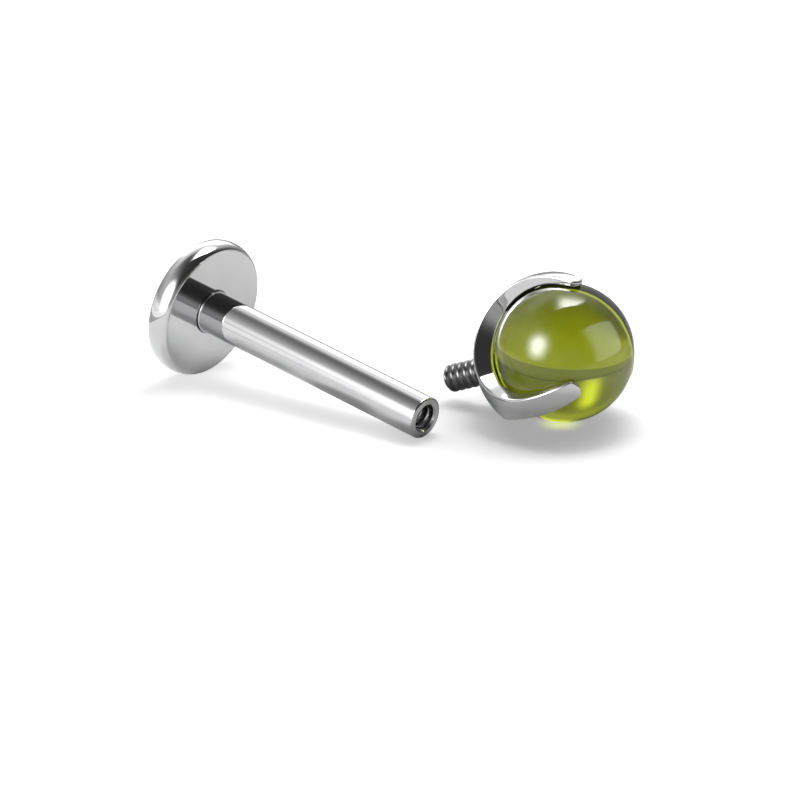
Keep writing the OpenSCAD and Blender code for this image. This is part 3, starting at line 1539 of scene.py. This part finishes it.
@dataclass
class Studio:
    """The pale table, the light around it and the camera.

    Attributes:
        camera_height: Height of the camera's line of sight, in degrees.
        camera_distance: Distance from the point looked at, in metres.
        look_at: The point on the table that the photograph's middle shows, in metres.
        lens: Focal length, in mm.
        sensor: Width of the camera's sensor, in mm.
        sight: How near and how far the camera sees, in metres.
        table_size: Side of the table, in metres.
        table_white: How much of the light the table gives back.
        table_lift: Light that the camera's table gives out by itself, which makes its shadows light.
        table_shade: The painted shade around the ball's end on it, which dims that light.
        gathered: A painted glow on it where the ball gathers light.
        gathered_colour: The colour and strength of that painted glow.
        mirrored_dark: How much of its light the far part of the mirrored table gives back, painted dim
            beyond the pools of light.
        bright_parts: The painted pools of light on the mirrored table.
        shades: The painted shadows on it.
        room_light: Light from the dark parts of the room.
        background: How bright the camera sees the room behind the table.
        cards: The soft lights and boards around the table.
        boxes: The soft lights near the stud.
    """

    camera_height: float = 19.62
    camera_distance: float = 0.15
    look_at: Place = (0.283e-3, 0.024e-3, 0.0)
    lens: float = 242.06
    sensor: float = 36.0
    sight: Pair = (0.001, 20.0)
    table_size: float = 6.0
    table_white: float = 0.8
    table_lift: float = 0.72
    table_shade: Spot = Spot((3.7, -1.9), (1.4, 4.8), (0.5, 1.0))
    gathered: Spot = Spot((4.7, -1.9), (0.0, 0.8), (1.0, 0.0))
    gathered_colour: Colour = (0.36, 0.42, 0.0, 1)
    mirrored_dark: float = 0.4
    bright_parts: tuple[Spot, ...] = (
        Spot((-0.5, -5.5), (15.0, 15.8), (1.0, 0.0)),
        Spot((36, -16), (22, 29), (1.0, 0.0)),
    )
    shades: tuple[Spot, ...] = (
        Spot((3.8, -2.2), (3.2, 5.6), (0.63, 1.0)),
        Spot((2.6, 0.2), (1.4, 2.6), (0.55, 1.0)),
        Spot((-4.2, 0.8), (0.6, 1.8), (0.78, 1.0)),
        Spot((-1.7, -1.2), (0.8, 2.1), (0.5, 1.0)),
        Spot((0.6, -3.1), (0.6, 1.8), (0.7, 1.0)),
    )
    room_light: float = 0.045
    background: float = 1.1
    cards: tuple[SoftCard, ...] = (
        SoftCard(-8, 52, sides((14, 20), (14, 20), (3, 8), (8, 8)), 0.63),
        SoftCard(0, 22, sides((36, 26), (36, 26), (20, 24), (20, 24)), 0.4),
        SoftCard(-98, 26, sides((4, 30), (4, 30), (8, 26), (8, 26)), 0.6),
        SoftCard(180, 0, sides((14, 18), (14, 18), (10, 14), (10, 14)), 0.4),
    )
    boxes: tuple[SoftBox, ...] = (
        SoftBox(
            -131, 25, sides((0, 30), (0, 30), (0, 28), (0, 40)), 17.5,
            "key_light", (-82, -72, 51), (200, 200), Lit.STUD,
        ),
        SoftBox(
            0, 90, (Edge(67.2, 13.7, 1.2), Edge(32, 15, 2.6), Edge(180, -2, 8), Edge(270, -11, 16)), 12.7,
            "top_light", (4, 20, 54), (50, 60), Lit.ALL,
        ),
        SoftBox(
            -4, 24, sides((43, 27), (43, 27), (37, 20), (22, 12)), 1.75,
            "back_wall", (-9.6, 136.7, 63), (200, 130), Lit.METAL,
        ),
        SoftBox(
            -105, 0, sides((14, 10), (14, 10), (1.8, 1.7), (1.6, 1.0)), 0.75,
            "left_card", (-19, -4, 1.6), (60, 9), Lit.METAL,
        ),
        SoftBox(
            0, 63, sides((55, 1), (55, 1), (40, 1), (40, 1)), 1.6,
            "table_light", (0, 40, 80), (110, 80), Lit.TABLE,
        ),
        SoftBox(
            -15, 13, sides((2, 18), (2, 18), (14, 30), (14, 30)), 1.95,
            "back_strip", (-37.8, 141.2, 36), (90, 150), Lit.BALL,
        ),
        SoftBox(
            115, 20, (Edge(0, 4, 12), Edge(180, 42, 8), Edge(105, 28, 2.5), Edge(270, 30, 4)), 2.1,
            "side_card", (51, -24, 21), (130, 80), Lit.BALL,
        ),
    )

    def lay_table(self, name: str) -> tuple[Object, Surface]:
        """Lay a plain, dull table.

        Args:
            name: The table's name.

        Returns:
            The table, and its material's tree with the place on it in mm.
        """
        bpy.ops.mesh.primitive_plane_add(size=self.table_size, location=(0, 0, 0))
        table = name_new(name)
        surface = Surface(name, Lie(Vector(), UP))
        surface.feed(surface.principled, {"Roughness": 1.0, "Specular IOR Level": 0.0})
        table.data.materials.append(surface.material)
        return table, surface

    def build_table(self) -> Object:
        """Lay the plain pale table under the stud, as the camera sees it, with a painted shade and a painted
        glow around the ball's end.

        Returns:
            The table.
        """
        table, surface = self.lay_table("table")
        # Painted shade dims the table's own light around the ball's end, and a painted green-yellow glow is
        # added under the ball
        lift = surface.math("MULTIPLY", self.table_shade.level(surface), self.table_lift)
        gathered = self.gathered.level(surface)
        levels = {
            channel: surface.math("MULTIPLY_ADD", gathered, share, lift)
            for channel, share in enumerate(self.gathered_colour[:3])
        }
        looks = {
            "Base Color": (*[self.table_white] * 3, 1),
            "Emission Color": surface.add("ShaderNodeCombineColor", levels).outputs[0],
            "Emission Strength": 1.0,
        }
        surface.feed(surface.principled, looks)
        for rays in ("diffuse", "glossy", "transmission", "volume_scatter", "shadow"):
            setattr(table, f"visible_{rays}", False)
        return table

    def build_mirrored_table(self) -> Object:
        """Lay the table as the stud mirrors it: lit by the key light too, with painted pools of light and
        painted shadows, and painted dim far away.

        Returns:
            The table.
        """
        table, surface = self.lay_table("mirrored_table")
        # Painted light and shade: the table's colour is bright in the pools, dim beyond them and darkened in
        # the shadows
        bright: Value = 0.0
        for part in self.bright_parts:
            bright = surface.math("MAXIMUM", bright, part.level(surface))
        white = surface.remap(bright, (0, 1), (self.mirrored_dark, self.table_white), "LINEAR")
        for shade in self.shades:
            white = surface.math("MULTIPLY", white, shade.level(surface))
        colour = surface.add("ShaderNodeCombineColor", {0: white, 1: white, 2: white}).outputs[0]
        surface.feed(surface.principled, {"Base Color": colour})
        table.visible_camera = False
        table.visible_shadow = False
        return table

    def build_room(self) -> None:
        """Surround the table with soft cards in a dim room, and a white background."""
        world = bpy.data.worlds.new("soft_studio")
        bpy.context.scene.world = world
        world.use_nodes = True
        world.node_tree.nodes.clear()
        nodes = Nodes(world.node_tree)
        direction = nodes.add("ShaderNodeTexCoord").outputs["Generated"]
        total: Value = self.room_light
        for card in self.cards:
            total = nodes.math("ADD", total, card.glow(nodes, direction))
        seen = nodes.add("ShaderNodeLightPath").outputs["Is Camera Ray"]
        strength = nodes.math("MAXIMUM", total, nodes.math("MULTIPLY", seen, self.background))
        background = nodes.add("ShaderNodeBackground", {"Color": (1, 1, 1, 1), "Strength": strength})
        nodes.add("ShaderNodeOutputWorld", {"Surface": background.outputs[0]})
        bpy.context.scene.view_settings.view_transform = "Standard"

    def build_lights(self, tables: Sequence[Object], stud: Sequence[Object]) -> None:
        """Set up the lights near the stud.

        Args:
            tables: The table that the camera sees, and the mirrored one.
            stud: The stud's pieces; the ball is the last.
        """
        seen, mirrored = tables
        lit: dict[Lit, Collection | None] = {Lit.ALL: None}
        groups = (
            (Lit.STUD, [*stud, mirrored]),
            (Lit.METAL, [*stud[:-1], mirrored]),
            (Lit.BALL, stud[-1:]),
            (Lit.TABLE, [seen]),
        )
        for kind, parts in groups:
            lit[kind] = bpy.data.collections.new(f"lit_{kind.value}")
            for part in parts:
                lit[kind].objects.link(part)
        for box in self.boxes:
            box.build(lit[box.lit])

    def build_camera(self) -> Object:
        """Set up the camera where the photograph was taken from.

        Returns:
            The camera.
        """
        height = math.radians(self.camera_height)
        place = Vector(self.look_at) + way(-math.pi / 2, height) * self.camera_distance
        bpy.ops.object.camera_add(location=place, rotation=(math.pi / 2 - height, 0, 0))
        camera = name_new("photo_camera")
        camera.data.lens = self.lens
        camera.data.sensor_width = self.sensor
        camera.data.clip_start, camera.data.clip_end = self.sight
        bpy.context.scene.camera = camera
        return camera


def main() -> None:
    """Build the studio and both halves of the stud, and report each piece."""
    logging.basicConfig(level=logging.INFO, format="%(message)s")
    studio = Studio()
    studio.build_camera()
    studio.build_room()
    tables = (studio.build_table(), studio.build_mirrored_table())
    stud = []
    for half in (StudBack(), BallEnd()):
        for part in half.make():
            stud.append(part)
            log.info("%s: %d faces", part.name, len(part.data.polygons))
    studio.build_lights(tables, stud)
    bpy.ops.object.select_all(action="DESELECT")


if __name__ == "__main__":
    main()
